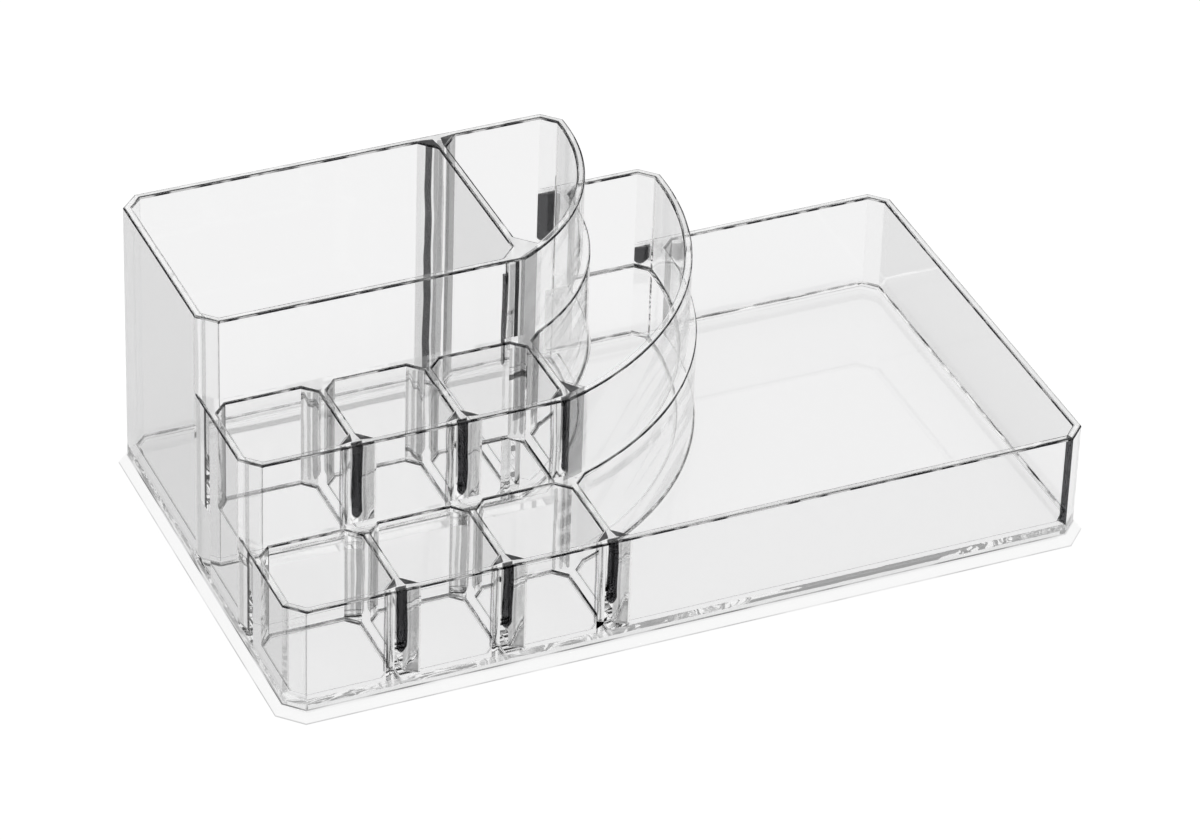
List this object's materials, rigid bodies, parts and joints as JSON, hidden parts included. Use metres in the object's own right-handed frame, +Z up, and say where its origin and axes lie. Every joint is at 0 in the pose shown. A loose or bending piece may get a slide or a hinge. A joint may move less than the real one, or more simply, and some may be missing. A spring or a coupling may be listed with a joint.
{
  "type": "makeup organizer",
  "caption": "Clear acrylic makeup organizer with stepped tiers of cups, a divided tall bin, curved side walls and an open tray.",
  "frame": {"origin": "on the table under the middle of the base", "axes": "+X to the right towards the tray, +Y from the low front to the tall back, +Z up"},
  "size_m": [0.221, 0.127, 0.0787],
  "materials": {
    "clear_acrylic": "polished, clear and colourless"
  },
  "bodies": {
    "root": {"base_plate": "clear_acrylic", "left_wall": "clear_acrylic", "back_wall": "clear_acrylic", "front_wall": "clear_acrylic", "right_wall": "clear_acrylic", "back_left_corner": "clear_acrylic", "front_left_corner": "clear_acrylic", "front_right_corner": "clear_acrylic", "back_right_corner": "clear_acrylic", "tall_front_wall": "clear_acrylic", "tall_corner": "clear_acrylic", "tall_curved_wall": "clear_acrylic", "tall_divider": "clear_acrylic", "middle_front_wall": "clear_acrylic", "middle_corner": "clear_acrylic", "middle_curved_wall": "clear_acrylic", "middle_floor": "clear_acrylic", "middle_rear_ledge": "clear_acrylic", "middle_inner_curve": "clear_acrylic", "middle_divider_1": "clear_acrylic", "middle_divider_2": "clear_acrylic", "middle_divider_3": "clear_acrylic", "front_rear_ledge": "clear_acrylic", "tray_curved_ledge": "clear_acrylic", "front_divider_1": "clear_acrylic", "front_divider_2": "clear_acrylic", "front_divider_3": "clear_acrylic"}
  },
  "joints": []
}
